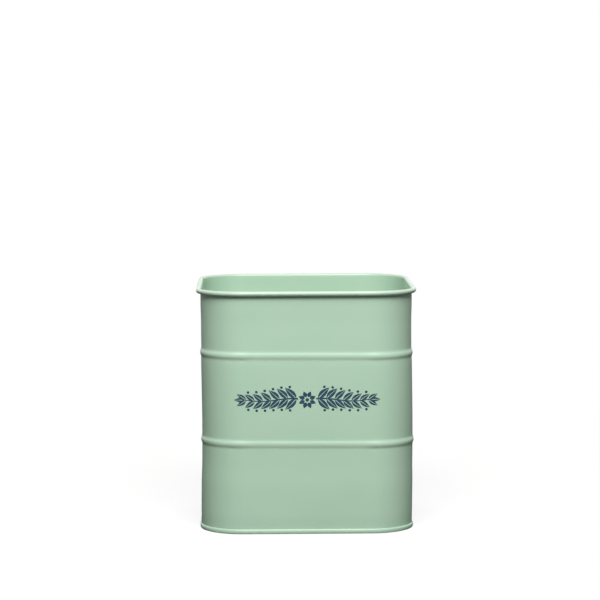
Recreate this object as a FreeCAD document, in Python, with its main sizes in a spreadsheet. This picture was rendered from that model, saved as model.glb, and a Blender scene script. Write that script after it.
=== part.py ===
import FreeCAD, Part
import math
import os
import Sketcher

# Utensil holder: a square tin of painted sheet steel with round corners, millimetres, +Z up.
# The origin is the middle of the footprint, on the surface that the tin stands on. The front is -Y.
# Each piece is a section at the middle of the right side, carried once round the tin.

doc = FreeCAD.newDocument("UtensilHolder")
vector = FreeCAD.Vector

# Driving dimensions: name, value, what it is
driving_sizes = [
    ("body_width", 140.0, "outside of the wall, left to right"),
    ("body_depth", 140.0, "outside of the wall, front to back"),
    ("overall_height", 160.0, "from the table to the top of the rim"),
    ("corner_radius", 28.5, "outside of the wall, in plan"),
    ("sheet", 0.3, "thickness of the steel sheet"),
    ("wire_diameter", 2.6, "wire inside the rolled rim"),
    ("wire_gap", 0.02, "between the wire and the sheet rolled round it"),
    ("curl_angle", 305.0, "degrees that the sheet goes round the wire"),
    ("lower_bead_height", 59.2, "from the table to the middle of the bead"),
    ("upper_bead_height", 117.3, "from the table to the middle of the bead"),
    ("bead_depth", 0.75, "how far a bead stands out of the wall"),
    ("bead_crest_radius", 4.1, "outside of the bead's crest"),
    ("bead_root_radius", 4.9, "outside of the hollows above and below the crest"),
    ("seam_height", 3.1, "from the table to the top of the double seam"),
    ("seam_gap", 0.02, "between the folded layers of the double seam"),
    ("hook_play", 0.3, "from a hook's tip to the fold that it points into"),
    ("toe_radius", 0.2, "inside of the two folds that the tin stands on"),
    ("panel_height", 3.8, "from the table to the underside of the bottom panel's edge"),
    ("panel_bend", 1.0, "inside of the fold from the seam to the bottom panel"),
    ("panel_land", 6.0, "flat edge of the bottom panel, round its raised middle"),
    ("panel_step", 0.8, "how far the middle of the bottom panel is raised"),
    ("step_radius", 1.2, "inside of the two bends of the raised middle"),
    ("panel_lap", 2.0, "flat inside the step that the plain middle is joined to"),
    ("lock_seam_width", 4.0, "folded strip that joins the wall's two ends, at the back"),
    ("lock_seam_end", 1.0, "from the strip's ends to the rim and to the double seam"),
]

sizes = doc.addObject("Spreadsheet::Sheet", "Sizes")
for row, (alias, value, note) in enumerate(driving_sizes, start=1):
    sizes.set(f"A{row}", note)
    sizes.set(f"B{row}", str(value))
    sizes.setAlias(f"B{row}", alias)
doc.recompute()

# Places that several pieces share, worked out from the driving sizes. A layer of the double seam
# stands one sheet and one gap outside the last, so each hook's fold goes round one sheet.
side = "(Sizes.body_width / 2)"
back = "(Sizes.body_depth / 2)"
layer = "(Sizes.sheet + Sizes.seam_gap)"
hook_radius = "(Sizes.sheet / 2 + Sizes.seam_gap)"
wall_hook_height = f"(2 * Sizes.sheet + Sizes.seam_gap + {hook_radius})"
pan_hook_height = f"(Sizes.seam_height - Sizes.sheet - {hook_radius})"
curl_radius = "(Sizes.wire_diameter / 2 + Sizes.wire_gap)"
curl_height = f"(Sizes.overall_height - Sizes.sheet - {curl_radius})"
step_reach = "(2 * Sizes.step_radius + Sizes.sheet)"
step_run = f"sqrt(2 * {step_reach} * Sizes.panel_step - Sizes.panel_step ^ 2)"
middle_inset = f"({layer} + Sizes.sheet + Sizes.panel_bend + Sizes.panel_land + {step_run})"
middle_height = "(Sizes.panel_height + Sizes.panel_step)"


def size(expression):
    """The number that an expression of the sheet's names comes to."""
    return float(sizes.evalExpression(expression))


def lean(rise, reach):
    """Degrees of two equal and opposite bends, of radii that add up to reach, for a given rise."""
    return math.degrees(math.acos(1 - rise / reach))


def new_body(name):
    body = doc.addObject("PartDesign::Body", name)
    body.Label = name
    return body


def new_sketch(body, name, role):
    sketch = body.newObject("Sketcher::SketchObject", name)
    plane = next(feature for feature in body.Origin.OriginFeatures if feature.Role == role)
    sketch.AttachmentSupport = [(plane, "")]
    sketch.MapMode = "FlatFace"
    return sketch


def constrain(sketch, *arguments):
    return sketch.addConstraint(Sketcher.Constraint(*arguments))


def dimension(sketch, name, expression, *arguments):
    """A constraint bound to a size: its kind and what it holds come after the expression."""
    value = size(expression)
    if arguments[0] == "Angle":
        value = math.radians(value)
    index = constrain(sketch, *arguments, value)
    sketch.renameConstraint(index, name)
    sketch.setExpression(f"Constraints.{name}", expression)


def rounded_rectangle(sketch, inset):
    """Plan of the wall's outside, or of a line inset from it, from the middle of the right side."""
    half_width = f"{side} - {inset}"
    half_depth = f"{back} - {inset}"
    corner = f"Sizes.corner_radius - {inset}"
    x, y, radius = size(half_width), size(half_depth), size(corner)
    centres = [(x - radius, y - radius), (radius - x, y - radius),
               (radius - x, radius - y), (x - radius, radius - y)]
    start = vector(x, 0)
    for quarter, centre in enumerate(centres):
        circle = Part.Circle(vector(*centre), vector(0, 0, 1), radius)
        arc = Part.ArcOfCircle(circle, quarter * math.pi / 2, (quarter + 1) * math.pi / 2)
        sketch.addGeometry(Part.LineSegment(start, arc.StartPoint))
        sketch.addGeometry(arc)
        start = arc.EndPoint
    last = sketch.addGeometry(Part.LineSegment(start, vector(x, 0)))

    for edge in range(last):
        constrain(sketch, "Tangent", edge, 2, edge + 1, 1)
    constrain(sketch, "Coincident", last, 2, 0, 1)
    for upright in (0, 4, last):
        constrain(sketch, "Vertical", upright)
    for level in (2, 6):
        constrain(sketch, "Horizontal", level)
    for arc in (3, 5, 7):
        constrain(sketch, "Equal", 1, arc)
    constrain(sketch, "PointOnObject", 0, 1, -1)
    constrain(sketch, "Symmetric", 1, 3, 5, 3, -1, 1)
    dimension(sketch, "half_width", half_width, "DistanceX", -1, 1, 0, 1)
    dimension(sketch, "half_depth", half_depth, "DistanceY", -1, 1, 2, 1)
    dimension(sketch, "corner", corner, "Radius", 1)


class SheetSection:
    """Section of a folded sheet, drawn along both its faces at once.

    Left and right are those of someone who walks along the sheet. A fold is two arcs about one
    centre and a straight run is two parallel lines. Every joint is tangent, so the thickness that
    the start has is carried through the whole section.
    """

    def __init__(self, sketch, thickness, left_x, left_y, heading):
        self.sketch = sketch
        self.thickness = thickness
        self.heading = math.radians(heading)
        self.left = vector(size(left_x), size(left_y))
        self.ends = None
        self.start_cap = sketch.addGeometry(Part.LineSegment(self.left, self.right()))
        constrain(sketch, "Horizontal", self.start_cap)
        dimension(sketch, "thickness", thickness, "Distance", self.start_cap)
        self.place("start_across", left_x, "DistanceX", self.start_cap, 1)
        self.place("start_height", left_y, "DistanceY", self.start_cap, 1)

    def across(self):
        """Unit step from the left face to the right one."""
        return vector(math.sin(self.heading), -math.cos(self.heading))

    def right(self):
        return self.left + self.across() * size(self.thickness)

    def place(self, name, expression, kind, edge, point):
        """Gives a point of an edge its distance from the origin: DistanceX across, DistanceY up."""
        dimension(self.sketch, name, expression, kind, -1, 1, edge, point)

    def join(self, left, right):
        """Ties new edges to the last ones. An edge comes with its start's and its end's number."""
        new_edges = (left, right)
        if self.ends is None:
            for corner, new in enumerate(new_edges, start=1):
                constrain(self.sketch, "Coincident", self.start_cap, corner, new[0], new[1])
        else:
            for old, new in zip(self.ends, new_edges):
                constrain(self.sketch, "Tangent", old[0], old[2], new[0], new[1])
        self.ends = new_edges

    def run(self, length):
        """Straight stretch, upright or level. Gives its left edge; its length is still to be set."""
        step = vector(math.cos(self.heading), math.sin(self.heading)) * length
        direction = "Vertical" if abs(step.y) > abs(step.x) else "Horizontal"
        edges = []
        for start in (self.left, self.right()):
            edge = self.sketch.addGeometry(Part.LineSegment(start, start + step))
            edges.append((edge, 1, 2))
        self.join(*edges)
        for edge, _, _ in edges:
            constrain(self.sketch, direction, edge)
        self.left = self.left + step
        return edges[0][0]

    def fold(self, name, turn, degrees, inside_radius):
        """Bend to the left (turn 1) or to the right (turn -1). Gives its left arc."""
        angle = math.radians(degrees)
        inside = size(inside_radius)
        outside = inside + size(self.thickness)
        radii = (inside, outside) if turn > 0 else (outside, inside)
        outward = self.across() * turn
        centre = self.left - outward * radii[0]
        begin = math.atan2(outward.y, outward.x)
        edges = []
        for radius in radii:
            circle = Part.Circle(centre, vector(0, 0, 1), radius)
            if turn > 0:
                arc = Part.ArcOfCircle(circle, begin, begin + angle)
                edges.append((self.sketch.addGeometry(arc), 1, 2))
            else:
                arc = Part.ArcOfCircle(circle, begin - angle, begin)
                edges.append((self.sketch.addGeometry(arc), 2, 1))
        self.join(*edges)
        left_arc, right_arc = edges[0][0], edges[1][0]
        constrain(self.sketch, "Coincident", left_arc, 3, right_arc, 3)
        inner_arc = left_arc if turn > 0 else right_arc
        dimension(self.sketch, name, inside_radius, "Radius", inner_arc)
        self.heading += turn * angle
        self.left = centre + self.across() * turn * radii[0]
        return left_arc

    def bead(self, name, height, wall, outset):
        """Upright run to a bead, then its root, crest and root. The sheet's right face is outset
        from the wall's outside, on which the bead's radii are measured."""
        reach = size("Sizes.bead_root_radius + Sizes.bead_crest_radius")
        angle = lean(size("Sizes.bead_depth"), reach)
        half_bead = reach * math.sin(math.radians(angle))
        below = self.run(size(height) - half_bead - self.left.y)
        root_radius = f"Sizes.bead_root_radius - {outset}"
        crest_radius = f"Sizes.bead_crest_radius + {outset} - {self.thickness}"
        self.fold(f"{name}_root", -1, angle, root_radius)
        crest = self.fold(f"{name}_crest", 1, 2 * angle, crest_radius)
        self.fold(f"{name}_upper_root", -1, angle, root_radius)
        crest_across = f"{wall} + Sizes.bead_depth - Sizes.bead_crest_radius"
        self.place(f"{name}_height", height, "DistanceY", crest, 3)
        self.place(f"{name}_across", crest_across, "DistanceX", crest, 3)
        edge, _, end = self.ends[0]
        constrain(self.sketch, "Vertical", below, 1, edge, end)

    def close(self):
        """Cut edge at the sheet's end. Gives the edge; its direction is still to be set."""
        cap = self.sketch.addGeometry(Part.LineSegment(self.left, self.right()))
        for corner, (edge, _, end) in enumerate(self.ends, start=1):
            constrain(self.sketch, "Coincident", cap, corner, edge, end)
        return cap


def carry_round(body, section):
    """Sweeps a section once round the tin."""
    path = new_sketch(body, f"{section.Name}Path", "XY_Plane")
    rounded_rectangle(path, "0")
    sweep = body.newObject("PartDesign::AdditivePipe", f"{section.Name}Sweep")
    sweep.Profile = section
    sweep.Spine = (path, [])
    sweep.Mode = "Frenet"
    return sweep


def pad(body, sketch, length):
    plate = body.newObject("PartDesign::Pad", f"{sketch.Name}Pad")
    plate.Profile = sketch
    plate.setExpression("Length", length)
    return plate


def make_body_wall():
    """One sheet: hook of the double seam, wall with two beads, and the rim rolled outwards."""
    body = new_body("body_wall")
    section = SheetSection(
        new_sketch(body, "WallSection", "XZ_Plane"), "Sizes.sheet",
        f"{side} + 2 * {layer}", f"{pan_hook_height} - Sizes.hook_play", -90)
    section.run(section.left.y - size(wall_hook_height))
    hook = section.fold("hook", -1, 180, hook_radius)
    section.place("hook_height", wall_hook_height, "DistanceY", hook, 3)
    section.bead("lower_bead", "Sizes.lower_bead_height", side, "0")
    section.bead("upper_bead", "Sizes.upper_bead_height", side, "0")
    section.run(size(curl_height) - section.left.y)
    curl = section.fold("curl", -1, size("Sizes.curl_angle"), curl_radius)
    section.place("curl_height", curl_height, "DistanceY", curl, 3)
    dimension(section.sketch, "curl_angle", "Sizes.curl_angle", "Angle", curl)
    cut_edge = section.close()
    constrain(section.sketch, "PointOnObject", curl, 3, cut_edge)
    carry_round(body, section.sketch)

    # The lock seam is two more layers on the wall, half sunk into it and following its beads
    strip = SheetSection(
        new_sketch(body, "LockSeamSection", "YZ_Plane"), "(Sizes.sheet + Sizes.sheet / 2)",
        f"{back} - Sizes.sheet / 2", "Sizes.seam_height + Sizes.lock_seam_end", 90)
    strip.bead("lower_bead", "Sizes.lower_bead_height", back, "Sizes.sheet")
    strip.bead("upper_bead", "Sizes.upper_bead_height", back, "Sizes.sheet")
    strip_top = f"{curl_height} - {curl_radius} - Sizes.sheet - Sizes.lock_seam_end"
    top_run = strip.run(size(strip_top) - strip.left.y)
    strip.place("top", strip_top, "DistanceY", top_run, 2)
    constrain(strip.sketch, "Horizontal", strip.close())
    seam = pad(body, strip.sketch, "Sizes.lock_seam_width")
    seam.Midplane = True
    return body


def make_base_pan():
    """The bottom: its edge goes under the wall's hook, up outside it and down again inside it."""
    body = new_body("base_pan")
    section = SheetSection(
        new_sketch(body, "PanSection", "XZ_Plane"), "Sizes.sheet",
        f"{side} + Sizes.seam_gap", f"{wall_hook_height} + Sizes.hook_play", 90)
    section.run(size(pan_hook_height) - section.left.y)
    hook = section.fold("hook", -1, 180, hook_radius)
    section.place("hook_height", pan_hook_height, "DistanceY", hook, 3)

    toe_height = "Sizes.sheet + Sizes.toe_radius"
    section.run(section.left.y - size(toe_height))
    outer_toe = section.fold("outer_toe", -1, 90, "Sizes.toe_radius")
    section.place("toe_height", toe_height, "DistanceY", outer_toe, 3)

    inner_toe_across = f"{side} - {layer} + Sizes.toe_radius"
    section.run(section.left.x - size(inner_toe_across))
    inner_toe = section.fold("inner_toe", -1, 90, "Sizes.toe_radius")
    section.place("inner_toe_across", inner_toe_across, "DistanceX", inner_toe, 3)

    bend_height = "Sizes.panel_height - Sizes.panel_bend"
    section.run(size(bend_height) - section.left.y)
    bend = section.fold("panel_bend", 1, 90, "Sizes.panel_bend")
    section.place("bend_height", bend_height, "DistanceY", bend, 3)

    land = section.run(size("Sizes.panel_land"))
    dimension(section.sketch, "land", "Sizes.panel_land", "Distance", land)
    angle = lean(size("Sizes.panel_step"), size(step_reach))
    section.fold("step_foot", -1, angle, "Sizes.step_radius")
    section.fold("step_top", 1, angle, "Sizes.step_radius")
    lap = section.run(size("Sizes.panel_lap"))
    section.place("middle_height", middle_height, "DistanceY", lap, 1)
    dimension(section.sketch, "lap", "Sizes.panel_lap", "Distance", lap)
    constrain(section.sketch, "Vertical", section.close())
    carry_round(body, section.sketch)

    middle = new_sketch(body, "PanMiddle", "XY_Plane")
    middle.setExpression("AttachmentOffset.Base.z", middle_height)
    rounded_rectangle(middle, middle_inset)
    pad(body, middle, "Sizes.sheet")
    return body


def make_rim_wire():
    """Steel wire that the rim is rolled round."""
    body = new_body("rim_wire")
    section = new_sketch(body, "WireSection", "XZ_Plane")
    across = f"{side} + {curl_radius}"
    centre = vector(size(across), size(curl_height))
    radius = size("Sizes.wire_diameter / 2")
    circle = section.addGeometry(Part.Circle(centre, vector(0, 0, 1), radius))
    dimension(section, "across", across, "DistanceX", -1, 1, circle, 3)
    dimension(section, "height", curl_height, "DistanceY", -1, 1, circle, 3)
    dimension(section, "diameter", "Sizes.wire_diameter", "Diameter", circle)
    carry_round(body, section)
    return body


pieces = [make_body_wall(), make_base_pan(), make_rim_wire()]
doc.recompute()

for item in doc.Objects:
    if "Invalid" in item.State or "Error" in item.State:
        raise RuntimeError(f"{item.Label} failed: {item.State}")
    if item.TypeId == "Sketcher::SketchObject" and not item.FullyConstrained:
        raise RuntimeError(f"{item.Label} still has free edges")

# A sweep's volume is its section's area times the way that the section's centre goes
turn = 2 * math.pi * size("Sizes.corner_radius")
straight = 2 * size("Sizes.body_width + Sizes.body_depth - 4 * Sizes.corner_radius")
for item in doc.Objects:
    if item.TypeId == "PartDesign::AdditivePipe":
        face = Part.Face(item.Profile[0].Shape.Wires)
        way = straight + turn + 2 * math.pi * (face.CenterOfMass.x - size(side))
        if abs(item.AddSubShape.Volume / (face.Area * way) - 1) > 0.001:
            raise RuntimeError(f"{item.Label} has the wrong volume")

os.makedirs("parts", exist_ok=True)
for piece in pieces:
    shape = piece.Shape
    if shape.isNull() or not shape.isValid() or len(shape.Solids) != 1:
        raise RuntimeError(f"{piece.Label} is not one valid solid")
    shape.exportStep(f"parts/{piece.Label}.step")
    print(f"{piece.Label}: {shape.Volume:.0f} mm3, {len(shape.Faces)} faces")
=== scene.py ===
# Utensil holder: a square tin of painted sheet steel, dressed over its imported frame.
# Blender's units are metres, +Z up, and the front faces -Y. Sizes in the dictionaries are millimetres.
import math

import bpy
import numpy as np
from mathutils import Matrix, Vector


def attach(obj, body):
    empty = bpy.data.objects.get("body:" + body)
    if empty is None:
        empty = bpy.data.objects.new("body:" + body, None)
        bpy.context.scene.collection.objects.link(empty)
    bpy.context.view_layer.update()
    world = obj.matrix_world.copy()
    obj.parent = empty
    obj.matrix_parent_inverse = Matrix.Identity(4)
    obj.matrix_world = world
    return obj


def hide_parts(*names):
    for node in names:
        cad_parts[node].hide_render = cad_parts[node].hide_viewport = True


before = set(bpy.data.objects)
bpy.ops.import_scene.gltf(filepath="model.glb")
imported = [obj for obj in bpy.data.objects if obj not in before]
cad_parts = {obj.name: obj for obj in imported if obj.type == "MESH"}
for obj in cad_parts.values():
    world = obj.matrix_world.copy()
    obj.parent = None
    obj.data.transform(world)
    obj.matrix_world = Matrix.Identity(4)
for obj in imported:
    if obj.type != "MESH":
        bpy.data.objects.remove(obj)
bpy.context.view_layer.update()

millimetre = 0.001
foldAngle = math.radians(50)                                 # sharper edges show as folds


# Shapes that the pieces share

tin = {
    "halfWidth": 70.0,         # outside of the wall, from the axis
    "cornerRadius": 28.5,      # outside of the wall, in plan
    "height": 160.0,
    "sheet": 0.3,
    "seamGap": 0.02,           # between the layers of the double seam
    "beads": (59.2, 117.3),    # heights of the two beads
    "beadDepth": 0.75,
    "crestRadius": 4.1,        # outside of a bead's crest
    "rootRadius": 4.9,         # outside of the hollows above and below it
    "seamHeight": 3.1,         # top of the double seam's ring
}
flatHalf = tin["halfWidth"] - tin["cornerRadius"]            # from a face's middle to its corner
cornerLength = tin["cornerRadius"] * math.pi / 2
quarter = 2 * flatHalf + cornerLength                        # way round the tin, a quarter of it
beadLean = math.acos(1 - tin["beadDepth"] / (tin["crestRadius"] + tin["rootRadius"]))
halfBead = (tin["crestRadius"] + tin["rootRadius"]) * math.sin(beadLean)


def smoothStep(low, high, value):
    # 0 below low, 1 above high, and 3t^2 - 2t^3 between them
    t = np.clip((value - low) / (high - low), 0, 1)
    return t * t * (3 - 2 * t)


def planPath(way):
    # Rounded square: straight to the corner, then an arc, four times. way is the distance round the
    # wall's outside, anticlockwise from the middle of the right side. Gives places and the directions
    # outward.
    turnNumber = np.floor(way / quarter + 0.5)
    along = way - turnNumber * quarter                       # from this face's middle, + anticlockwise
    past = np.clip(np.abs(along) - flatHalf, 0, None)        # how far into the corner
    angle = np.sign(along) * past / tin["cornerRadius"]
    flatPart = np.clip(along, -flatHalf, flatHalf)
    x = flatHalf + tin["cornerRadius"] * np.cos(angle)
    y = flatPart + tin["cornerRadius"] * np.sin(angle)
    facing = turnNumber * math.pi / 2
    cosine, sine = np.cos(facing), np.sin(facing)
    place = np.stack([x * cosine - y * sine, x * sine + y * cosine], -1)
    outward = np.stack([np.cos(facing + angle), np.sin(facing + angle)], -1)
    return place, outward


def walkSheet(across, height, heading, steps):
    # Middle line of a folded sheet, as one walks along it. A run is (length, pieces): straight ahead. A
    # fold is (turn, degrees, radius, pieces): an arc round a centre on the left for turn 1 and on the
    # right for -1, with the radius to the sheet's middle. Gives places and the unit steps to the
    # right-hand face.
    place = np.array([across, height], float)
    heading = math.radians(heading)
    places, rights = [place[None]], [np.array([[math.sin(heading), -math.cos(heading)]])]
    for step in steps:
        if len(step) == 2:
            length, pieces = step
            share = np.linspace(0, 1, pieces + 1)[1:, None]
            forward = np.array([math.cos(heading), math.sin(heading)])
            run = place + share * length * forward
            right = np.repeat(rights[-1][-1:], pieces, 0)
        else:
            turn, degrees, radius, pieces = step
            swept = np.linspace(0, math.radians(degrees), pieces + 1)[1:] * turn
            centre = place - turn * radius * rights[-1][-1]
            right = np.stack([np.sin(heading + swept), -np.cos(heading + swept)], -1)
            run = centre + turn * radius * right
            heading += swept[-1]
        places.append(run)
        rights.append(right)
        place = run[-1]
    return np.concatenate(places), np.concatenate(rights)


def addMesh(name, grids, finish, wearAndPaintedLight=None):
    # One mesh out of grids (rows, columns, 3) in millimetres. Each grid comes with closed, for its rows
    # and for its columns, and poles, the points that its first and last row close on, or None. The last
    # argument holds a grid for each: 1 where the coat turns to the lighter rubbed colour, partly worn
    # coat and partly a painted highlight, and -1 where painted shade darkens it.
    points, faces, wornAndPaintedLight = [], [], []
    first = 0
    for number, (grid, closed, poles) in enumerate(grids):
        rows, columns = grid.shape[:2]
        index = first + np.arange(rows * columns).reshape(rows, columns)
        down = np.roll(index, -1, 0) if closed[0] else index[1:]
        here = index if closed[0] else index[:-1]
        if closed[1]:
            quads = np.stack([here, np.roll(here, -1, 1), np.roll(down, -1, 1), down], -1)
        else:
            quads = np.stack([here[:, :-1], here[:, 1:], down[:, 1:], down[:, :-1]], -1)
        points.append(grid.reshape(-1, 3))
        faces.append(quads.reshape(-1, 4))
        first += rows * columns
        wornAndPaintedLight.append(np.zeros(rows * columns) if wearAndPaintedLight is None else wearAndPaintedLight[number].reshape(-1))
        if poles is not None:
            points.append(np.asarray(poles, float))
            wornAndPaintedLight.append(np.zeros(2))
            for pole, ring, flip in ((first, index[0], True), (first + 1, index[-1], False)):
                ahead = np.roll(ring, -1)
                fan = np.stack([ring, ahead, np.full_like(ring, pole), np.full_like(ring, -1)], -1)
                faces.append(fan[:, [1, 0, 2, 3]] if flip else fan)
            first += 2
    points = np.concatenate(points) * millimetre
    faces = np.concatenate(faces)
    sides = np.where(faces[:, 3] < 0, 3, 4)
    corners = faces[faces >= 0]
    starts = np.concatenate([[0], np.cumsum(sides)[:-1]])

    mesh = bpy.data.meshes.new(name)
    mesh.vertices.add(len(points))
    mesh.vertices.foreach_set("co", points.ravel())
    mesh.loops.add(len(corners))
    mesh.loops.foreach_set("vertex_index", corners.astype(np.int32))
    mesh.polygons.add(len(sides))
    mesh.polygons.foreach_set("loop_start", starts.astype(np.int32))
    mesh.polygons.foreach_set("use_smooth", np.ones(len(sides), bool))
    mesh.update(calc_edges=True)
    mesh.set_sharp_from_angle(angle=foldAngle)
    # Per point: 1 where the coat turns lighter, worn coat and painted highlight, and -1 where painted
    # shade darkens it
    layer = mesh.attributes.new("wearAndPaintedLight", "FLOAT", "POINT")
    layer.data.foreach_set("value", np.concatenate(wornAndPaintedLight).astype(np.float32))
    mesh.materials.append(finish)
    piece = bpy.data.objects.new(name, mesh)
    bpy.context.scene.collection.objects.link(piece)
    print(f"{name}: {len(points)} points, {int((sides - 2).sum())} triangles")
    return piece


# Dents, bows and waves of the sheet, which the wall, the base and the print follow

press = {
    # from and to a height, and how far the wall stands out between them
    "bows": ((109.0, 151.0, -0.28), (0.0, 44.0, 0.28)),
    "bowEase": 13.0,           # height over which a bow sets in
    "sway": (132.0, 0.6),      # below this height the section stands right, by so much at half of it
    "oilCan": 0.045,           # gentle waves of the flat faces
    # how many go round, where they start, the height that shifts them by a radian, and their share
    "waves": ((9, 1.3, 31.0, 1.0), (17, 0.4, -23.0, 0.6), (5, 0.0, 17.0, 0.8)),
    # where they are: from and to a height, and the height over which they set in
    "waveBands": ((6.0, 55.5, 12.0), (63.0, 113.5, 12.0), (121.0, 155.0, 10.0)),
    "flatBead": 0.26,          # how much shallower a bead is between its corners
    "flatBeadEnd": (7.0, 5.0),  # it ends from so far before a corner's start to so far past it
    "beadTilt": 0.4,           # how far a bead's ends rise on the left and sink on the right
    "tiltReach": 12.0,         # height over which the tilt dies away
    "pucker": 0.10,            # dimples under a bead where its corner starts
    "puckerPlaces": (43.0, 50.8),  # from a face's middle
    "puckerDrop": 3.1,         # below the bead's middle
    "puckerSize": (1.9, 1.2),  # along the bead and up
    "ripple": 0.05,            # slanting ripples over the double seam at the corners
    "rippleLength": 5.2,
    "rippleSlant": 0.8,        # how far they move along for each millimetre up
    "rippleBand": (3.8, 12.0, 3.0),  # from and to a height, and the height over which they set in
    "rippleStart": (3.0, 4.0),  # they set in from so far before a corner's start to so far past it
    "ringRound": (0.75, 0.85),  # foot and top: 0 leaves the seam's ring square, 1 makes it an ellipse
    "ringWave": 0.035,         # unevenness that the seaming roll leaves
}


def window(low, high, edge, value):
    # 1 between low and high, easing to 0 over edge on either side, inside the range
    return smoothStep(low, low + edge, value) * (1 - smoothStep(high - edge, high, value))


def pressed(way, height):
    # Outward shift of the sheet at a way round and a height: bows, waves, puckers and ripples added up.
    # A wave is sin(count * turns + start + height / rise), and a ripple is a slanting sine. A bead is
    # lowered by (1 + cos(pi d)) / 2, with d from its crest, and a pucker is exp(-d^2), with d from its
    # middle.
    turns = 2 * math.pi * way / (4 * quarter)
    along = (way / quarter + 0.5) % 1 * quarter - quarter / 2
    off = np.abs(along)                                      # from the face's middle, either way
    shift = np.zeros(np.broadcast_shapes(way.shape, height.shape))
    for low, high, amount in press["bows"]:
        shift += amount * window(low, high, press["bowEase"], height)
    between = sum(window(low, high, ease, height) for low, high, ease in press["waveBands"])
    waves = sum(share * np.sin(count * turns + start + height / rise)
                for count, start, rise, share in press["waves"])
    whole = sum(share for _, _, _, share in press["waves"])
    shift = shift + press["oilCan"] * between * waves / whole
    before, past = press["flatBeadEnd"]
    onFlat = 1 - smoothStep(flatHalf - before, flatHalf + past, off)
    wide, tall = press["puckerSize"]
    for bead, level in enumerate(tin["beads"]):
        inBead = np.clip(np.abs(height - level) / halfBead, 0, 1)
        shift = shift - press["flatBead"] * onFlat * (1 + np.cos(math.pi * inBead)) / 2
        for number, start in enumerate(press["puckerPlaces"]):
            nearBead = np.exp(-((height - level + press["puckerDrop"]) / tall) ** 2)
            atPlace = np.exp(-((off - start) / wide) ** 2)
            depth = 0.6 + 0.4 * np.sin(7.4 * turns + 2.1 * bead + 1.9 * number)  # each has its own
            shift = shift - press["pucker"] * depth * nearBead * atPlace
    slant = 2 * math.pi * (off + press["rippleSlant"] * height) / press["rippleLength"]
    before, past = press["rippleStart"]
    inCorner = smoothStep(flatHalf - before, flatHalf + past, off)
    return shift + press["ripple"] * np.sin(slant) * inCorner * window(*press["rippleBand"], height)


def swayed(height):
    # Shift of the whole section to the right: a smooth step up to half of the height and one down again
    top, most = press["sway"]
    return most * window(0, top, top / 2, height)


def tilted(x, height):
    # Rise of the sheet near the beads, which lie a little askew: exp(-(d / reach)^2) of the distance d
    near = sum(np.exp(-((height - level) / press["tiltReach"]) ** 2) for level in tin["beads"])
    return -press["beadTilt"] * x / tin["halfWidth"] * near


def rolledRing(off, height):
    # The seaming roll leaves its ring rounded: whatever stands outside the wall comes in towards it by
    # the half ellipse sqrt(1 - (r h)^2), with h from -1 at the ring's foot to 1 at its top
    h = np.clip(2 * height / tin["seamHeight"] - 1, -1, 1)
    foot, top = press["ringRound"]
    share = np.sqrt(1 - (np.where(h < 0, foot, top) * h) ** 2)
    return np.where((off > 0) & (height <= tin["seamHeight"]), off * share, off)


def ringUneven(way):
    # Slow unevenness of the double seam, the same for the wall's hook and the base's: two sines, with
    # 11 and 23 waves round the tin
    turns = 2 * math.pi * way / (4 * quarter)
    return press["ringWave"] * (np.sin(11 * turns + 0.7) + 0.7 * np.sin(23 * turns)) / 1.7


# Camera, placed as the photograph's was

photoView = {
    "place": (-0.0344, -1.7, 0.3055),  # metres
    "down": 0.0925,            # radians below the horizon
    "turn": 0.01829,           # radians from +Y, + to the right
    "roll": -0.0034,           # radians about the line of sight
    "lens": 150.84,
    "sensor": 36.0,            # its width
    "clip": (0.05, 60.0),      # metres
}


def addCamera():
    # It looks along turn and down, and is rolled about that line
    data = bpy.data.cameras.new("photoCamera")
    data.lens = photoView["lens"]
    data.sensor_width = photoView["sensor"]
    data.clip_start, data.clip_end = photoView["clip"]
    camera = bpy.data.objects.new("photoCamera", data)
    turn, down = photoView["turn"], photoView["down"]
    ahead = Vector((math.sin(turn) * math.cos(down), math.cos(turn) * math.cos(down), -math.sin(down)))
    right = Vector((math.cos(turn), -math.sin(turn), 0.0))
    up = right.cross(ahead)
    turned = Matrix((right, up, -ahead)).transposed()
    turned = turned @ Matrix.Rotation(photoView["roll"], 3, "Z")
    camera.matrix_world = Matrix.Translation(photoView["place"]) @ turned.to_4x4()
    bpy.context.scene.collection.objects.link(camera)
    bpy.context.scene.camera = camera


# Materials

def linear(colour):
    # sRGB hex to linear red, green, blue, alpha
    parts = [int(colour[i:i + 2], 16) / 255 for i in (1, 3, 5)]
    return [c / 12.92 if c <= 0.04045 else ((c + 0.055) / 1.055) ** 2.4 for c in parts] + [1.0]


def addNode(tree, kind, inputs=None, **settings):
    # A node with its settings, and its inputs set to values or linked to other nodes' outputs
    node = tree.nodes.new(kind)
    for name, value in settings.items():
        setattr(node, name, value)
    for name, value in (inputs or {}).items():
        if isinstance(value, bpy.types.NodeSocket):
            tree.links.new(value, node.inputs[name])
        else:
            node.inputs[name].default_value = value
    return node


def newMaterial(name):
    material = bpy.data.materials.new(name)
    material.use_nodes = True
    material.node_tree.nodes.clear()
    return material, material.node_tree


def patternScale(size):
    # A noise texture's scale for a pattern that is about so many millimetres from crest to crest
    return 1 / (size * millimetre)


paint = {
    "colour": "#B0CDB5",       # sage green
    "thick": "#A6C6AD",        # where the coat lies thicker
    "rubbedAndHighlight": "#C0CDBF",       # lighter: worn coat on edges that get handled, and a painted highlight on the rim's top and the beads' crests
    "paintedCreaseShade": "#869F8A",        # painted shade in the crease under the rim
    "roughness": (0.38, 0.47),
    "orangePeel": 1.4,         # mm from crest to crest
    "grit": 0.25,              # mm between the coat's fine grains, drawn coarser than real
    "gritRelief": 0.12,        # its height beside the orange peel's
    "cloud": 38.0,             # mm between places where the coat lies thicker
    "scuff": 9.0,              # mm between patches of the lighter colour, worn coat and painted highlight
    "burnish": 0.06,           # how much smoother a rubbed place is
    "relief": 0.03,            # depth of the orange peel
}


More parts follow.
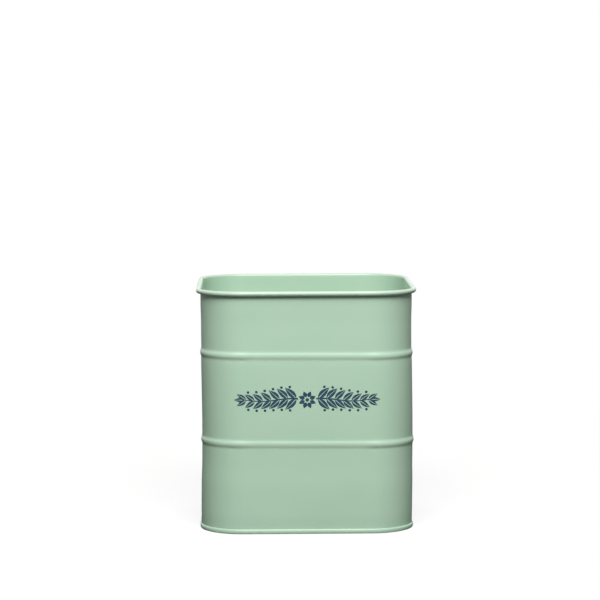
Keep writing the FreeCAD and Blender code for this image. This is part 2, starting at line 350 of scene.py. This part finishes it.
def powderCoatedSteel():
    # Powder-coated sheet steel: sprayed, then baked until it flows. It gives an even satin colour with
    # a soft orange-peel sheen, a little thicker in cloudy patches. Edges that get handled are burnished
    # and lighter, partly rubbed coat and partly a painted highlight, and painted shade darkens the
    # crease under the rim.
    material, tree = newMaterial("powderCoatedSteel")
    place = addNode(tree, "ShaderNodeTexCoord").outputs["Object"]
    cloud = addNode(tree, "ShaderNodeTexNoise", {
        "Vector": place, "Scale": patternScale(paint["cloud"]), "Detail": 3.0, "Roughness": 0.5})
    peel = addNode(tree, "ShaderNodeTexNoise", {
        "Vector": place, "Scale": patternScale(paint["orangePeel"]), "Detail": 1.0, "Roughness": 0.4})
    grit = addNode(tree, "ShaderNodeTexNoise", {
        "Vector": place, "Scale": patternScale(paint["grit"]), "Detail": 1.0, "Roughness": 0.5})
    scuff = addNode(tree, "ShaderNodeTexNoise", {
        "Vector": place, "Scale": patternScale(paint["scuff"]), "Detail": 4.0, "Roughness": 0.65})
    depth = addNode(tree, "ShaderNodeMapRange", {
        "Value": cloud.outputs["Fac"], "From Min": 0.35, "From Max": 0.65, "To Max": 0.35})
    coat = addNode(tree, "ShaderNodeMix", {
        "Factor": depth.outputs["Result"], "A": linear(paint["colour"]), "B": linear(paint["thick"])},
        data_type="RGBA")
    # The mesh's attribute: where positive, the lighter rubbed colour, partly worn coat and partly a
    # painted highlight; where negative, painted shade
    wearAndPaintedLight = addNode(tree, "ShaderNodeAttribute", attribute_name="wearAndPaintedLight")
    patches = addNode(tree, "ShaderNodeMapRange", {
        "Value": scuff.outputs["Fac"], "From Min": 0.3, "From Max": 0.6, "To Min": 0.45})
    wornAndPaintedLight = addNode(tree, "ShaderNodeMath", {0: wearAndPaintedLight.outputs["Fac"], 1: patches.outputs["Result"]},
                   operation="MULTIPLY", use_clamp=True)
    # Where the attribute is negative: painted shade in the crease under the rim
    paintedCreaseShade = addNode(tree, "ShaderNodeMath", {0: wearAndPaintedLight.outputs["Fac"], 1: -1.0},
                    operation="MULTIPLY", use_clamp=True)
    # Lighter rubbed colour: worn coat, and a painted highlight on the rim's top and the beads' crests
    rubbedAndHighlight = addNode(tree, "ShaderNodeMix", {
        "Factor": wornAndPaintedLight.outputs[0], "A": coat.outputs["Result"], "B": linear(paint["rubbedAndHighlight"])},
        data_type="RGBA")
    colour = addNode(tree, "ShaderNodeMix", {
        "Factor": paintedCreaseShade.outputs[0], "A": rubbedAndHighlight.outputs["Result"], "B": linear(paint["paintedCreaseShade"])},
        data_type="RGBA")
    gloss = addNode(tree, "ShaderNodeMapRange", {
        "Value": grit.outputs["Fac"], "From Min": 0.3, "From Max": 0.7,
        "To Min": paint["roughness"][0], "To Max": paint["roughness"][1]})
    burnish = addNode(tree, "ShaderNodeMath", {
        0: wornAndPaintedLight.outputs[0], 1: -paint["burnish"], 2: gloss.outputs["Result"]},
        operation="MULTIPLY_ADD")
    relief = addNode(tree, "ShaderNodeMath", {
        0: grit.outputs["Fac"], 1: paint["gritRelief"], 2: peel.outputs["Fac"]},
        operation="MULTIPLY_ADD")
    bump = addNode(tree, "ShaderNodeBump", {
        "Height": relief.outputs[0], "Strength": 0.35, "Distance": paint["relief"] * millimetre})
    shader = addNode(tree, "ShaderNodeBsdfPrincipled", {
        "Base Color": colour.outputs["Result"], "Roughness": burnish.outputs[0],
        "Normal": bump.outputs["Normal"], "IOR": 1.5})
    addNode(tree, "ShaderNodeOutputMaterial", {"Surface": shader.outputs["BSDF"]})
    return material


ink = {
    "colour": "#1E3D50",       # navy
    "thin": "#27495E",         # where the film is thinner
    "roughness": (0.38, 0.46),
    "patches": 2.4,            # mm between thinner places
    "mesh": 0.35,              # mm between the screen's threads, drawn coarser than real
    "relief": 0.01,            # depth of their marks
}


def screenPrintedInk():
    # Screen-printed epoxy ink: laid on through a mesh and baked. It gives a dense, slightly matt navy
    # whose film is a little thinner here and there.
    material, tree = newMaterial("screenPrintedInk")
    place = addNode(tree, "ShaderNodeTexCoord").outputs["Object"]
    film = addNode(tree, "ShaderNodeTexNoise", {
        "Vector": place, "Scale": patternScale(ink["patches"]), "Detail": 3.0, "Roughness": 0.6})
    mesh = addNode(tree, "ShaderNodeTexNoise", {
        "Vector": place, "Scale": patternScale(ink["mesh"]), "Detail": 1.0, "Roughness": 0.5})
    thin = addNode(tree, "ShaderNodeMapRange", {
        "Value": film.outputs["Fac"], "From Min": 0.45, "From Max": 0.75})
    colour = addNode(tree, "ShaderNodeMix", {
        "Factor": thin.outputs["Result"], "A": linear(ink["colour"]), "B": linear(ink["thin"])},
        data_type="RGBA")
    gloss = addNode(tree, "ShaderNodeMapRange", {
        "Value": mesh.outputs["Fac"], "From Min": 0.3, "From Max": 0.7,
        "To Min": ink["roughness"][0], "To Max": ink["roughness"][1]})
    bump = addNode(tree, "ShaderNodeBump", {
        "Height": mesh.outputs["Fac"], "Strength": 0.3, "Distance": ink["relief"] * millimetre})
    shader = addNode(tree, "ShaderNodeBsdfPrincipled", {
        "Base Color": colour.outputs["Result"], "Roughness": gloss.outputs["Result"],
        "Normal": bump.outputs["Normal"], "IOR": 1.52})
    addNode(tree, "ShaderNodeOutputMaterial", {"Surface": shader.outputs["BSDF"]})
    return material


wire = {
    "colour": "#B4B3AF",
    "drawn": "#8F8E8B",        # in the lines that the die leaves
    "roughness": (0.22, 0.36),
    "lines": 2.0,              # mm between them, seen along the wire
    "finer": 9.0,              # how many times closer they are up the wire
    "relief": 0.01,            # their depth
}


def drawnSteelWire():
    # Drawn steel wire: pulled through a die, which leaves fine lines along it. It gives grey metal with
    # a streaked gloss.
    material, tree = newMaterial("drawnSteelWire")
    place = addNode(tree, "ShaderNodeTexCoord").outputs["Object"]
    streak = addNode(tree, "ShaderNodeMapping", {
        "Vector": place, "Scale": (1.0, 1.0, wire["finer"])})
    lines = addNode(tree, "ShaderNodeTexNoise", {
        "Vector": streak.outputs["Vector"], "Scale": patternScale(wire["lines"]), "Detail": 3.0})
    colour = addNode(tree, "ShaderNodeMix", {
        "Factor": lines.outputs["Fac"], "A": linear(wire["colour"]), "B": linear(wire["drawn"])},
        data_type="RGBA")
    gloss = addNode(tree, "ShaderNodeMapRange", {
        "Value": lines.outputs["Fac"], "To Min": wire["roughness"][0], "To Max": wire["roughness"][1]})
    bump = addNode(tree, "ShaderNodeBump", {
        "Height": lines.outputs["Fac"], "Strength": 0.3, "Distance": wire["relief"] * millimetre})
    shader = addNode(tree, "ShaderNodeBsdfPrincipled", {
        "Base Color": colour.outputs["Result"], "Metallic": 1.0, "Roughness": gloss.outputs["Result"],
        "Normal": bump.outputs["Normal"]})
    addNode(tree, "ShaderNodeOutputMaterial", {"Surface": shader.outputs["BSDF"]})
    return material


# Wall: one sheet, from the hook of the double seam to the rolled rim

wall = {
    "hookTip": 2.33,           # height of the hook's cut edge
    "hookHeight": 0.79,        # height of the hook's fold
    "curlRadius": 1.32,        # inside of the rolled rim
    "curlDegrees": 305.0,
    "stations": ((-36.0, 24), (36.0, 19), (55.0, 12), (72.77, 19)),  # from here, columns to the next
    "seamWidth": 4.0,          # lock seam at the back
    "seamRise": 0.3,
    "seamEnds": (4.1, 155.76),
    "seamEdge": 0.18,          # half of the width over which its long edges rise
    "seamEase": 0.8,           # height over which its ends rise
    "seamColumns": (0.5, 0.15),  # columns by a long edge: outside it, and on both sides of it
    "ringFade": (4.0, 8.0),    # heights between which the ring's unevenness dies away
    "rimRubAndHighlight": 0.85,            # how much lighter the rim's top is: worn coat, and a painted highlight
    "rimRubAndHighlightStart": (158.4, 159.4),  # heights between which that sets in
    "beadRub": 0.2,            # and the beads' crests, the same way
    "beadRubReach": 1.3,       # up and down from the crest
    # Painted shade in the crease under the rim, on the wall and on the curl's underside
    "wallShade": (155.4, 158.8, 0.5),  # from and to a height, and the height over which it sets in
    "curlDustTop": 157.4,      # under the curl, the painted shade lies below this height
    "curlDust": (0.05, 0.7, 1.5),  # off the wall's outside: from, thinning from, and gone
}


def aroundWall():
    # Stations round the tin: wide on the faces, close where the corners start and at the lock seam's
    # long edges
    starts = [start for start, _ in wall["stations"]]
    ends = starts[1:] + [starts[0] + quarter]
    face = np.concatenate([np.linspace(start, end, count + 1)[:-1] for start, end, (_, count) in
                           zip(starts, ends, wall["stations"])])
    ways = np.concatenate([face + number * quarter for number in range(4)])
    half = wall["seamWidth"] / 2
    outside, beside = wall["seamColumns"]
    edges = np.array([half + outside, half + beside, half - beside])
    return np.sort(np.concatenate([ways, quarter - edges, quarter + edges]))


def standUp(place, outward, off, height):
    # Grid of points at place + outward * off, each row at its height
    grid = np.empty(off.shape + (3,))
    grid[..., :2] = place + outward * off[..., None]
    grid[..., 2] = height
    return grid


def lockSeam(way, height):
    # Height of the folded strip over the sheet: a flat-topped ridge with eased edges
    off = np.abs(way - quarter)
    half = wall["seamWidth"] / 2
    low, high = wall["seamEnds"]
    ridge = 1 - smoothStep(half - wall["seamEdge"], half + wall["seamEdge"], off)
    return wall["seamRise"] * ridge * window(low, high, wall["seamEase"], height)


def makeWall(finish):
    sheet = tin["sheet"]
    root = (-1, math.degrees(beadLean), tin["rootRadius"] + sheet / 2, 5)
    crest = (1, math.degrees(2 * beadLean), tin["crestRadius"] - sheet / 2, 12)
    low, high = tin["beads"]
    curlHeight = tin["height"] - sheet - wall["curlRadius"]
    aboveRing = tin["seamHeight"] + 0.6                      # rows are close for the ripples from here
    rippled = 13.0                                           # up to this height
    close = 4.0                                              # and this near to a bead
    steps = [
        (wall["hookTip"] - wall["hookHeight"], 2),
        (-1, 180, sheet / 2 + tin["seamGap"] + sheet / 2, 8),
        (aboveRing - wall["hookHeight"], 2),
        (rippled - aboveRing, 10),
        (low - halfBead - close - rippled, 8),
        (close, 6),
        root, crest, root,
        (close, 3),
        (high - low - 2 * halfBead - 2 * close, 12),
        (close, 6),
        root, crest, root,
        (close, 3),
        (curlHeight - high - halfBead - close, 10),
        (-1, wall["curlDegrees"], wall["curlRadius"] + sheet / 2, 34),
    ]
    middle, right = walkSheet(tin["halfWidth"] + 2 * (sheet + tin["seamGap"]) - sheet / 2,
                              wall["hookTip"], -90, steps)
    ways = aroundWall()
    place, outward = planPath(ways)

    # The section goes up the outside face and comes back down the inside face
    outside = middle + right * sheet / 2
    inside = middle - right * sheet / 2
    section = np.concatenate([outside, inside[::-1]])
    isOutside = np.concatenate([np.ones(len(outside)), np.zeros(len(inside))])[:, None]
    off = section[:, :1] - tin["halfWidth"]
    height = section[:, 1:]
    shift = pressed(ways[None], height)
    shift = shift + ringUneven(ways[None]) * (1 - smoothStep(*wall["ringFade"], height))
    shift = shift + isOutside * lockSeam(ways[None], height)
    grid = standUp(place, outward, rolledRing(off, height) + shift, height)
    grid[..., 2] += tilted(grid[..., 0], height)
    grid[..., 0] += swayed(height)

    # Beads and rim are lighter, partly rubbed coat and partly a painted highlight, and painted shade
    # darkens the crease between the wall and the rim's curl. The curl turns outward, so that the sheet's
    # inside face is the one that shows on it.
    isInside = 1 - isOutside
    wearAndPaintedLight = wall["rimRubAndHighlight"] * isInside * smoothStep(*wall["rimRubAndHighlightStart"], height)
    for level in tin["beads"]:
        wearAndPaintedLight += wall["beadRub"] * isOutside * np.exp(-((height - level) / wall["beadRubReach"]) ** 2)
    # Painted shade in the crease: on the wall just below the curl and on the curl's underside
    nearest, full, gone = wall["curlDust"]
    underCurl = (off > nearest) * (height < wall["curlDustTop"]) * (1 - smoothStep(full, gone, off))
    wearAndPaintedLight -= isOutside * window(*wall["wallShade"], height) + isInside * underCurl
    wearAndPaintedLight = np.repeat(wearAndPaintedLight, len(ways), 1)
    piece = addMesh("tinWall", [(grid, (True, True), None)], finish, [wearAndPaintedLight])
    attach(piece, "root")
    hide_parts("body_wall")


# Base: ring of the double seam, and the bottom panel with its raised middle

base = {
    "coverTip": 1.09,          # height of the cover hook's cut edge
    "coverTop": 2.63,          # height of the fold over the seam
    "toeRadius": 0.2,          # inside of the ring's two folds that the tin stands on
    "panelHeight": 3.8,        # underside of the panel's edge
    "panelBend": 1.0,          # inside of the fold from the ring to the panel
    "panelLand": 6.0,          # flat edge of the panel
    "panelStep": 0.8,          # how far its middle is raised
    "stepRadius": 1.2,
    "lap": 2.0,                # flat run beyond the step
    "dish": 0.12,              # how far the thin middle sags
    "panelRings": 13,          # rows between the lap and the pole
    "ringFade": (-3.0, -0.6),  # off the wall, between which the ring's unevenness sets in
    "ringRub": 0.4,            # how much the ring's coat turns to the lighter rubbed colour at its foot and its top
    "footRub": (0.1, 0.6),     # heights between which the foot's wear ends
    "topLightening": (2.7, 3.0),      # and the top's sets in
    "stations": 220,
}


def makeBase(finish):
    sheet, gap = tin["sheet"], tin["seamGap"]
    half = tin["halfWidth"]
    layer = sheet + gap
    lean = math.degrees(math.acos(1 - base["panelStep"] / (2 * base["stepRadius"] + sheet)))

    # The tin stands on the flat between the ring's two folds, from outerToe to innerToe
    toe = base["toeRadius"] + sheet / 2
    toeHeight = sheet + base["toeRadius"]
    outerToe = half + gap + sheet / 2 + 2 * (sheet / 2 + gap + sheet / 2) - toe
    innerToe = half - layer + base["toeRadius"]
    bendHeight = base["panelHeight"] - base["panelBend"]
    steps = [
        (base["coverTop"] - base["coverTip"], 2),
        (-1, 180, sheet / 2 + gap + sheet / 2, 12),
        (base["coverTop"] - toeHeight, 4),
        (-1, 90, toe, 6),
        (outerToe - innerToe, 2),
        (-1, 90, toe, 6),
        (bendHeight - toeHeight, 3),
        (1, 90, base["panelBend"] + sheet / 2, 8),
        (base["panelLand"], 5),
        (-1, lean, base["stepRadius"] + sheet / 2, 5),
        (1, lean, base["stepRadius"] + sheet / 2, 5),
        (base["lap"], 2),
    ]
    middle, right = walkSheet(half + gap + sheet / 2, base["coverTip"], 90, steps)
    ways = np.linspace(0, 4 * quarter, base["stations"] + 1)[:-1]
    place, outward = planPath(ways)

    # The walk's right-hand face is the inside of the ring and the top of the panel
    upper = middle + right * sheet / 2
    lower = middle - right * sheet / 2
    share = np.linspace(1, 0, base["panelRings"] + 2)[1:-1]   # how far from the pole a row is

    def ring(section):
        # The section carried round the tin, with the ring's rounding and unevenness
        off, height = section[:, :1] - half, section[:, 1:]
        shift = ringUneven(ways[None]) * smoothStep(*base["ringFade"], off)
        return standUp(place, outward, rolledRing(off, height) + shift, height)

    def disc(edge):
        # The edge shrinks to the pole by the share s, and sags by dish * (1 - s^2)^2
        grid = edge[None] * share[:, None, None]
        sag = base["dish"] * (1 - share ** 2) ** 2
        grid[..., 2] = edge[:, 2] - sag[:, None]
        return grid

    upperRing, lowerRing = ring(upper), ring(lower)
    upperDisc, lowerDisc = disc(upperRing[-1]), disc(lowerRing[-1])
    grid = np.concatenate([lowerDisc[::-1], lowerRing[::-1], upperRing, upperDisc])
    upperPole = (0, 0, upperRing[-1, 0, 2] - base["dish"])
    lowerPole = (0, 0, lowerRing[-1, 0, 2] - base["dish"])
    heights = grid[..., 2]
    across = np.maximum(np.abs(grid[..., 0]), np.abs(grid[..., 1]))
    # The ring turns to the lighter rubbed colour at its foot and at its top
    wearAndPaintedLight = 1 - smoothStep(*base["footRub"], heights)
    wearAndPaintedLight = wearAndPaintedLight + smoothStep(*base["topLightening"], heights) * (across > half)
    piece = addMesh("tinBase", [(grid, (False, True), (lowerPole, upperPole))], finish,
                    [base["ringRub"] * wearAndPaintedLight])
    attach(piece, "root")
    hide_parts("base_pan")


# Print on the front: a leafy garland in navy ink

garland = {
    "middle": (-0.5, 88.7),    # across and up
    "sprigStart": 7.2,         # from the middle to a sprig's first leaf
    "sprigEnd": 40.0,          # and to its last pair
    "pairs": 7,
    "leafLength": (10.4, 7.2),  # first and last
    "leafWidth": (4.3, 3.0),
    "leafAngle": (50.0, 38.0),  # degrees off the stem
    "leafBend": 0.1,           # how far its spine bends, as a share of its length
    "veinWidth": 0.5,
    "stemWidth": 1.05,
    "stemThins": (1.1, 0.5),   # share of that width at its start, and how much of it goes by its end
    "stemSwing": 0.9,
    "stemPast": (1.2, 1.4),    # how far it runs past the first and the last leaves
    "tipLeaf": (7.6, 2.9),     # length and width of the leaf at a sprig's end
    "tipGap": 0.6,             # from the last pair
    "petals": 8,
    "petalReach": (1.8, 6.0),
    "petalWidth": 2.7,
    "eye": 1.2,                # dot in the flower's middle
    "berry": 0.9,
    "berryPlace": (4.1, 0.74),  # along the stem, and out as a share of the leaf's length
    "film": 0.05,              # ink thickness, drawn a little thicker than real
    "sunk": 0.03,              # how far its underside goes into the coat
    "cushion": 0.35,           # lower makes the film's top flatter and its edge steeper
    "leafRows": 15,            # rows along a leaf, along a stem, and between a dot's poles
    "stemRows": 50,
    "dotRows": 7,
    "leafColumns": 12,         # columns round a leaf's half or a stem, and round a dot
    "dotColumns": 16,
}


def onFront(across, height, lift):
    # Points of the print on the wall's own waves and round its corners: across is the way from the
    # front's middle, and lift the distance off the coat
    way = 3 * quarter + across
    place, outward = planPath(way)
    spot = place + outward * (pressed(way, height) + lift)[..., None]
    return np.stack([spot[..., 0] + swayed(height), spot[..., 1], height], -1)


def inkShape(spine, side, low, high):
    # Flat closed drop of ink, with a row for each point of the spine. Round a row, v goes over the top
    # and back under: across from low to high as cos v, and off the coat as |sin v|^cushion.
    v = np.linspace(0, 2 * math.pi, garland["leafColumns"] + 1)[:-1]
    centre, half = (low + high) / 2, (high - low) / 2
    across = centre[:, None] + half[:, None] * np.cos(v)
    flat = spine[:, None] + side[:, None] * across[..., None]
    rise = np.sign(np.sin(v)) * np.abs(np.sin(v)) ** garland["cushion"]
    lift = np.where(rise > 0, rise * garland["film"], rise * garland["sunk"])
    return onFront(flat[..., 0], flat[..., 1], np.broadcast_to(lift, across.shape))


def leafShapes(start, angle, length, width, bend, vein):
    # A leaf is two halves beside a bare vein. Its half-width is width / 2 * sin(pi u^0.8), and its spine
    # bends by bend * u^2 of its length. The vein narrows to a quarter and leaves over half of each side.
    # u goes from end to end by a cosine, so that the rows are closer at both.
    u = (1 - np.cos(np.linspace(0.12, math.pi - 0.08, garland["leafRows"]))) / 2
    ahead = np.array([math.cos(angle), math.sin(angle)])
    side = np.array([-ahead[1], ahead[0]])
    spine = start + length * (u[:, None] * ahead + bend * u[:, None] ** 2 * side)
    slope = ahead + 2 * bend * u[:, None] * side
    slope = slope / np.linalg.norm(slope, axis=1, keepdims=True)
    normal = np.stack([-slope[:, 1], slope[:, 0]], -1)
    half = width / 2 * np.sin(math.pi * u ** 0.8)
    bare = np.minimum(vein / 2 * (1 - 0.75 * u), half * 0.45)
    shapes = []
    for direction in (1, -1):
        grid = inkShape(spine, normal * direction, bare, half)
        if direction < 0:
            grid = grid[:, ::-1]
        ends = [0, -1]
        middles = spine[ends] + normal[ends] * direction * (bare + half)[ends, None] / 2
        poles = onFront(middles[:, 0], middles[:, 1], np.zeros(2))
        shapes.append((grid, (False, True), poles))
    return shapes


def roundShape(centre, radius):
    # A dot: rings of radius * sqrt(sin v), raised by cos v of the film, from a pole in front to a pole
    # behind
    v = np.linspace(0, math.pi, garland["dotRows"] + 2)[1:-1]
    turn = np.linspace(2 * math.pi, 0, garland["dotColumns"] + 1)[:-1]
    reach = radius * np.sin(v)[:, None] ** 0.5
    across, up = reach * np.cos(turn), reach * np.sin(turn)
    rise = np.cos(v)[:, None] * np.ones(len(turn))
    lift = np.where(rise > 0, rise * garland["film"], rise * garland["sunk"])
    grid = onFront(centre[0] + across, centre[1] + up, lift)
    ends = np.array([garland["film"], -garland["sunk"]])
    poles = onFront(np.full(2, centre[0]), np.full(2, centre[1]), ends)
    return [(grid, (False, True), poles)]


def onStem(distance, mirror):
    # Places on the right sprig's stem for mirror 1, on the left one's for -1. The stem swings up and
    # down by swing * sin(2 pi distance / end).
    swing = garland["stemSwing"] * np.sin(distance / garland["sprigEnd"] * 2 * math.pi)
    return np.array(garland["middle"]) + np.stack([mirror * distance, swing], -1)


def makeGarland(finish):
    # Two sprigs of paired leaves and berries, each along its stem, with a flower between them
    shapes = []
    first, last = garland["sprigStart"], garland["sprigEnd"]
    vein = garland["veinWidth"]
    berryAlong, berryOut = garland["berryPlace"]
    for mirror in (1, -1):
        for number in range(garland["pairs"]):
            share = number / (garland["pairs"] - 1)
            root = onStem(first + (last - first) * share, mirror)
            length, width, angle = (a + (b - a) * share for a, b in (
                garland["leafLength"], garland["leafWidth"], garland["leafAngle"]))
            for side in (1, -1):
                turned = math.radians(angle) * side
                if mirror < 0:
                    turned = math.pi - turned
                bend = -garland["leafBend"] * side * mirror
                shapes += leafShapes(root, turned, length, width, bend, vein)
                if number < garland["pairs"] - 1:
                    berry = root + np.array([mirror * berryAlong, side * length * berryOut])
                    shapes += roundShape(berry, garland["berry"])
        tip = onStem(last + garland["tipGap"], mirror)
        shapes += leafShapes(tip, 0.0 if mirror > 0 else math.pi, *garland["tipLeaf"], 0.0, vein)

        # The stem, thinner towards its end
        before, past = garland["stemPast"]
        u = np.linspace(first - before, last + past, garland["stemRows"])
        spine = onStem(u, mirror)
        thick, lost = garland["stemThins"]
        half = garland["stemWidth"] / 2 * (thick - lost * (u - u[0]) / (u[-1] - u[0]))
        up = np.repeat([[0.0, 1.0]], len(u), 0)
        grid = inkShape(spine, up, -half, half)
        if mirror < 0:
            grid = grid[:, ::-1]
        poles = onFront(spine[[0, -1], 0], spine[[0, -1], 1], np.zeros(2))
        shapes.append((grid, (False, True), poles))

    # The flower, petals round a dot
    middle = np.array(garland["middle"])
    inner, outer = garland["petalReach"]
    for number in range(garland["petals"]):
        angle = 2 * math.pi * (number + 0.5) / garland["petals"]
        start = middle + inner * np.array([math.cos(angle), math.sin(angle)])
        shapes += leafShapes(start, angle, outer - inner, garland["petalWidth"], 0.0, 0.0)
    shapes += roundShape(middle, garland["eye"])
    piece = addMesh("frontPrint", shapes, finish)
    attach(piece, "root")


# Floor, lamps and background

studio = {
    "floorColour": "#EDEDEB",  # as the camera sees it
    "floorBounce": 0.15,       # how much light it sends back up
    "floorReach": 8.0,         # metres
    "floorWhite": (0.80, 1.0),  # how much plain white the camera sees, by the tin and further off
    "floorFade": (0.2, 0.6),   # metres from the tin
    "ambient": 0.0,            # the world's light on the object
    "flagReach": 2.5,          # metres, black card that only reflections see
    "flagHeight": 0.1,         # off the floor
    "flagTone": 0.02,          # share of the light that it sends back
    "lamps": (
        # name, azimuth from the front (+ right), elevation, metres away, width and height in metres,
        # watts, and whether reflections see it
        ("lowSoftbox", -0.3, 38.0, 1.8, 1.1, 0.36, 12.8, True),
        ("middleSoftbox", -0.3, 50.0, 1.8, 1.1, 0.36, 22.4, True),
        ("highSoftbox", -0.3, 64.0, 1.8, 1.1, 0.5, 10.6, True),
        ("leftBackSoftbox", -155.0, 25.0, 1.9, 1.0, 0.7, 14.0, False),
        ("rightBackSoftbox", 155.0, 25.0, 1.9, 1.0, 0.7, 14.0, False),
    ),
}


def addSquare(name, reach, height, finish):
    # A level square round the tin, reach metres each way
    corners = [(x * reach, y * reach, height) for x, y in ((-1, -1), (1, -1), (1, 1), (-1, 1))]
    mesh = bpy.data.meshes.new(name)
    mesh.from_pydata(corners, [], [(0, 1, 2, 3)])
    mesh.materials.append(finish)
    square = bpy.data.objects.new(name, mesh)
    bpy.context.scene.collection.objects.link(square)
    return square


def addStage():
    # Pale floor with a shadow. The camera sees it nearly white, and it sends little light back up.
    material, tree = newMaterial("paleStudioFloor")
    floor = addSquare("floor", studio["floorReach"], 0, material)
    bounce = [studio["floorBounce"]] * 3 + [1.0]
    rays = addNode(tree, "ShaderNodeLightPath")
    colour = addNode(tree, "ShaderNodeMix", {
        "Factor": rays.outputs["Is Camera Ray"], "A": bounce, "B": linear(studio["floorColour"])},
        data_type="RGBA")
    lit = addNode(tree, "ShaderNodeBsdfDiffuse", {"Color": colour.outputs["Result"]})
    white = addNode(tree, "ShaderNodeEmission", {"Strength": 1.0})
    seen = seenDirectly(tree)
    place = addNode(tree, "ShaderNodeTexCoord").outputs["Object"]
    away = addNode(tree, "ShaderNodeVectorMath", {0: place}, operation="LENGTH")
    near, far = studio["floorFade"]
    share = addNode(tree, "ShaderNodeMapRange", {
        "Value": away.outputs["Value"], "From Min": near, "From Max": far,
        "To Min": studio["floorWhite"][0], "To Max": studio["floorWhite"][1]},
        interpolation_type="SMOOTHSTEP")
    factor = addNode(tree, "ShaderNodeMath", {0: seen, 1: share.outputs["Result"]}, operation="MULTIPLY")
    mixed = addNode(tree, "ShaderNodeMixShader", {
        0: factor.outputs[0], 1: lit.outputs[0], 2: white.outputs[0]})
    addNode(tree, "ShaderNodeOutputMaterial", {"Surface": mixed.outputs[0]})


def addFlag():
    # Studios draw a pale object's edges on white with black cards. This one lies on the floor under the
    # tin, and only reflections see it.
    material, tree = newMaterial("blackFlock")
    flag = addSquare("blackFlag", studio["flagReach"], studio["flagHeight"] * millimetre, material)
    dark = addNode(tree, "ShaderNodeBsdfDiffuse", {"Color": [studio["flagTone"]] * 3 + [1.0]})
    addNode(tree, "ShaderNodeOutputMaterial", {"Surface": dark.outputs[0]})
    flag.visible_camera = flag.visible_diffuse = flag.visible_transmission = False
    flag.visible_shadow = flag.visible_volume_scatter = False


def seenDirectly(tree):
    # 1 for a camera, glossy or transmission ray, and 0 for any other
    rays = addNode(tree, "ShaderNodeLightPath")
    either = addNode(tree, "ShaderNodeMath", {
        0: rays.outputs["Is Camera Ray"], 1: rays.outputs["Is Glossy Ray"]}, operation="MAXIMUM")
    return addNode(tree, "ShaderNodeMath", {
        0: either.outputs[0], 1: rays.outputs["Is Transmission Ray"]}, operation="MAXIMUM").outputs[0]


def addWorld():
    # White where it is seen, also in reflections. The light that it sends besides is the ambient share.
    world = bpy.data.worlds.new("studioWorld")
    world.use_nodes = True
    tree = world.node_tree
    tree.nodes.clear()
    plain = (1.0, 1.0, 1.0, 1.0)
    dim = addNode(tree, "ShaderNodeBackground", {"Color": plain, "Strength": studio["ambient"]})
    white = addNode(tree, "ShaderNodeBackground", {"Color": plain, "Strength": 1.0})
    mixed = addNode(tree, "ShaderNodeMixShader", {
        0: seenDirectly(tree), 1: dim.outputs[0], 2: white.outputs[0]})
    addNode(tree, "ShaderNodeOutputWorld", {"Surface": mixed.outputs[0]})
    bpy.context.scene.world = world


def addLamps():
    # Soft boxes that face the middle of the tin from the distance and angles given
    target = Vector((0, 0, tin["height"] / 2 * millimetre))
    for name, azimuth, elevation, distance, width, height, watts, glints in studio["lamps"]:
        a, e = math.radians(azimuth), math.radians(elevation)
        direction = Vector((math.sin(a) * math.cos(e), -math.cos(a) * math.cos(e), math.sin(e)))
        data = bpy.data.lights.new(name, "AREA")
        data.shape = "RECTANGLE"
        data.size, data.size_y = width, height
        data.energy = watts
        lamp = bpy.data.objects.new(name, data)
        lamp.location = target + direction * distance
        lamp.rotation_mode = "QUATERNION"
        lamp.rotation_quaternion = (-direction).to_track_quat("-Z", "Y")
        lamp.visible_camera = False
        lamp.visible_glossy = glints
        bpy.context.scene.collection.objects.link(lamp)


# The scene

addCamera()
addStage()
addFlag()
addWorld()
addLamps()
bpy.context.scene.view_settings.view_transform = "Standard"
print("camera, floor and lamps are in place")

coat = powderCoatedSteel()
makeWall(coat)
makeBase(coat)
makeGarland(screenPrintedInk())
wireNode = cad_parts["rim_wire"]
wireNode.data.materials.clear()
wireNode.data.materials.append(drawnSteelWire())
print("pieces are made")
